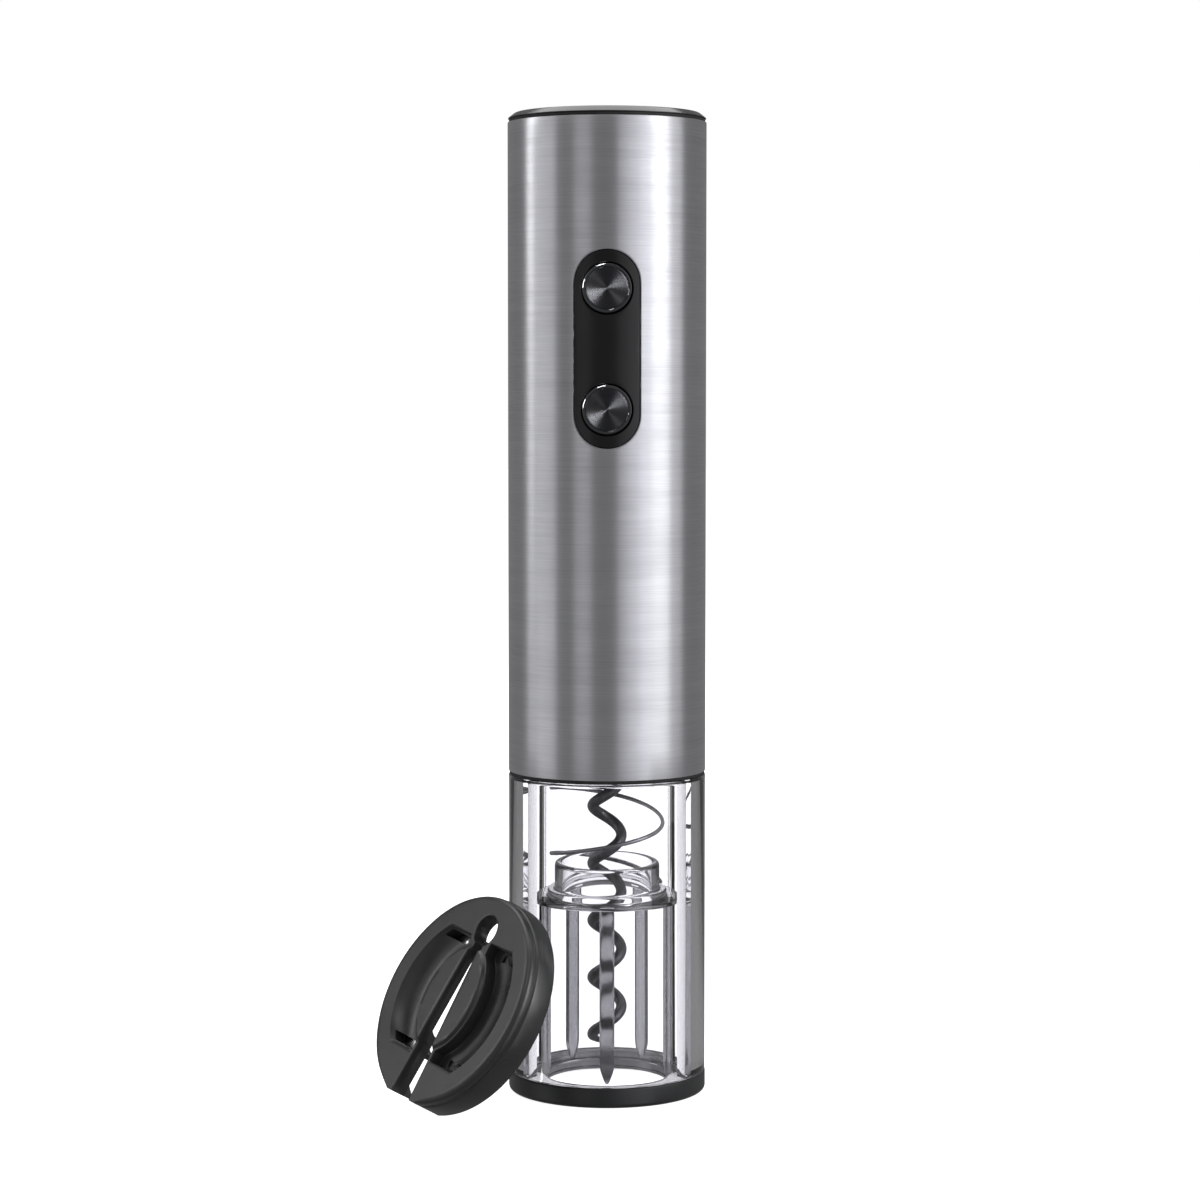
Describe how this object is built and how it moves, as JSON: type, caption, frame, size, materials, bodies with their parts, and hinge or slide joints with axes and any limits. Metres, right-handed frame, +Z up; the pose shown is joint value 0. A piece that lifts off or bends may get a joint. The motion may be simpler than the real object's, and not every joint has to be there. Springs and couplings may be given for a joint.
{
  "type": "electric wine opener",
  "caption": "Upright battery wine opener: brushed steel sleeve over a clear barrel with corkscrew and sprung cork guide, two buttons, and a round foil cutter leaning beside it.",
  "frame": {"origin": "centre of the base ring's flat underside, on the corkscrew's axis", "axes": "+Z up along the corkscrew's axis, the buttons face -Y"},
  "size_m": [0.0816, 0.0722, 0.2427],
  "materials": {
    "brushed_steel": "brushed around the tube",
    "spun_metal": "spun in rings, dark",
    "tool_steel": "dark plated",
    "bright_steel": "plated",
    "spring_steel": "drawn wire",
    "bronze": "sintered",
    "winding": "enamelled copper on steel",
    "contact": "plated",
    "gloss_black": "polished",
    "satin_black": "satin",
    "cutter_black": "satin",
    "rubber_black": "matt",
    "chassis_grey": "moulded",
    "white_plastic": "moulded",
    "clear_plastic": "clear moulded plastic",
    "board": "solder mask",
    "cell_skin": "printed film, plain",
    "magnet": "sintered ferrite"
  },
  "bodies": {
    "opener": {"clear_barrel": "clear_plastic", "base_ring": "satin_black", "head_floor": "satin_black", "upper_switch": "satin_black", "lower_switch": "satin_black", "seam_ring": "rubber_black", "cap_gasket": "rubber_black", "guide_spring": "spring_steel", "output_bush": "bronze", "gearbox_cover": "chassis_grey", "ring_gear": "chassis_grey", "front_chassis": "chassis_grey", "rear_chassis": "chassis_grey", "battery_cradle": "chassis_grey", "cap_socket": "chassis_grey", "motor_plate": "bright_steel", "motor_can": "bright_steel", "chassis_screw_1": "bright_steel", "chassis_screw_2": "bright_steel", "chassis_screw_3": "bright_steel", "chassis_screw_4": "bright_steel", "magnet_1": "magnet", "magnet_2": "magnet", "motor_end_bell": "white_plastic", "contact_disc": "white_plastic", "battery_1": "cell_skin", "battery_2": "cell_skin", "battery_3": "cell_skin", "battery_4": "cell_skin", "lower_bridge_1": "contact", "lower_bridge_2": "contact", "upper_bridge": "contact", "upper_terminal_1": "contact", "upper_terminal_2": "contact", "outer_sleeve": "brushed_steel", "button_panel": "gloss_black", "button_board": "board"},
    "output_stage": {"output_carrier": "bright_steel", "worm": "tool_steel"},
    "first_stage": {"first_carrier": "bright_steel"},
    "rotor": {"armature": "winding", "motor_shaft": "tool_steel", "sun_pinion": "bright_steel"},
    "guide": {"cork_guide": "clear_plastic"},
    "upper_push_button": {"upper_button": "gloss_black", "upper_button_disc": "spun_metal"},
    "lower_push_button": {"lower_button": "gloss_black", "lower_button_disc": "spun_metal"},
    "cap": {"battery_cap": "gloss_black"},
    "foil_cutter_shell": {"foil_cutter": "cutter_black"},
    "second_stage_planet_1": {"second_planet_1": "bright_steel"},
    "second_stage_planet_2": {"second_planet_2": "bright_steel"},
    "second_stage_planet_3": {"second_planet_3": "bright_steel"},
    "first_stage_planet_1": {"first_planet_1": "bright_steel"},
    "first_stage_planet_2": {"first_planet_2": "bright_steel"},
    "first_stage_planet_3": {"first_planet_3": "bright_steel"},
    "wheel_1": {"cutting_wheel_1": "bright_steel"},
    "wheel_2": {"cutting_wheel_2": "bright_steel"},
    "wheel_3": {"cutting_wheel_3": "bright_steel"},
    "wheel_4": {"cutting_wheel_4": "bright_steel"}
  },
  "joints": [
    {"name": "worm_spin", "type": "hinge", "parent": "opener", "child": "output_stage", "pos_m": [0, 0, 0.0963], "axis": [0, 0, 1], "continuous": true},
    {"name": "first_carrier_spin", "type": "hinge", "parent": "opener", "child": "first_stage", "pos_m": [0, 0, 0.105], "axis": [0, 0, 1], "continuous": true},
    {"name": "rotor_spin", "type": "hinge", "parent": "opener", "child": "rotor", "pos_m": [0, 0, 0.13], "axis": [0, 0, 1], "continuous": true},
    {"name": "second_planet_1_spin", "type": "hinge", "parent": "output_stage", "child": "second_stage_planet_1", "pos_m": [0.00877, 0, 0.1003], "axis": [0, 0, 1], "continuous": true},
    {"name": "second_planet_2_spin", "type": "hinge", "parent": "output_stage", "child": "second_stage_planet_2", "pos_m": [-0.00439, 0.0076, 0.1003], "axis": [0, 0, 1], "continuous": true},
    {"name": "second_planet_3_spin", "type": "hinge", "parent": "output_stage", "child": "second_stage_planet_3", "pos_m": [-0.00439, -0.0076, 0.1003], "axis": [0, 0, 1], "continuous": true},
    {"name": "first_planet_1_spin", "type": "hinge", "parent": "first_stage", "child": "first_stage_planet_1", "pos_m": [0.00877, 0, 0.1088], "axis": [0, 0, 1], "continuous": true},
    {"name": "first_planet_2_spin", "type": "hinge", "parent": "first_stage", "child": "first_stage_planet_2", "pos_m": [-0.00439, 0.0076, 0.1088], "axis": [0, 0, 1], "continuous": true},
    {"name": "first_planet_3_spin", "type": "hinge", "parent": "first_stage", "child": "first_stage_planet_3", "pos_m": [-0.00439, -0.0076, 0.1088], "axis": [0, 0, 1], "continuous": true},
    {"name": "cork_guide_slide", "type": "slide", "parent": "opener", "child": "guide", "axis": [0, 0, 1], "range_m": [0, 0.018], "stiffness_N_per_m": 120, "springref_m": -0.008, "deforming": ["guide_spring"]},
    {"name": "upper_button_press", "type": "slide", "parent": "opener", "child": "upper_push_button", "axis": [0, 1, 0], "range_m": [0, 0.001], "stiffness_N_per_m": 1500},
    {"name": "lower_button_press", "type": "slide", "parent": "opener", "child": "lower_push_button", "axis": [0, 1, 0], "range_m": [0, 0.001], "stiffness_N_per_m": 1500},
    {"name": "cap_twist", "type": "hinge", "parent": "opener", "child": "cap", "pos_m": [0, 0, 0.24], "axis": [0, 0, 1], "range_deg": [0, 30]},
    {"name": "foil_cutter_slide", "type": "slide", "parent": "opener", "child": "foil_cutter_shell", "axis": [-0.8396, -0.5432, 0], "range_m": [0, 0.08]},
    {"name": "cutting_wheel_1_spin", "type": "hinge", "parent": "foil_cutter_shell", "child": "wheel_1", "pos_m": [-0.02178, -0.03127, 0.03417], "axis": [-0.6891, -0.5345, 0.4894], "continuous": true},
    {"name": "cutting_wheel_2_spin", "type": "hinge", "parent": "foil_cutter_shell", "child": "wheel_2", "pos_m": [-0.03277, -0.03596, 0.01356], "axis": [-0.6891, -0.5345, 0.4894], "continuous": true},
    {"name": "cutting_wheel_3_spin", "type": "hinge", "parent": "foil_cutter_shell", "child": "wheel_3", "pos_m": [-0.03656, -0.00953, 0.0371], "axis": [-0.6891, -0.5345, 0.4894], "continuous": true},
    {"name": "cutting_wheel_4_spin", "type": "hinge", "parent": "foil_cutter_shell", "child": "wheel_4", "pos_m": [-0.04755, -0.01422, 0.01649], "axis": [-0.6891, -0.5345, 0.4894], "continuous": true}
  ],
  "couplings": [
    {"joint": "worm_spin", "follows": "first_carrier_spin", "ratio": 0.16667},
    {"joint": "rotor_spin", "follows": "first_carrier_spin", "ratio": 6},
    {"joint": "second_planet_1_spin", "follows": "first_carrier_spin", "ratio": -0.41667},
    {"joint": "second_planet_2_spin", "follows": "first_carrier_spin", "ratio": -0.41667},
    {"joint": "second_planet_3_spin", "follows": "first_carrier_spin", "ratio": -0.41667},
    {"joint": "first_planet_1_spin", "follows": "first_carrier_spin", "ratio": -2.5},
    {"joint": "first_planet_2_spin", "follows": "first_carrier_spin", "ratio": -2.5},
    {"joint": "first_planet_3_spin", "follows": "first_carrier_spin", "ratio": -2.5}
  ]
}
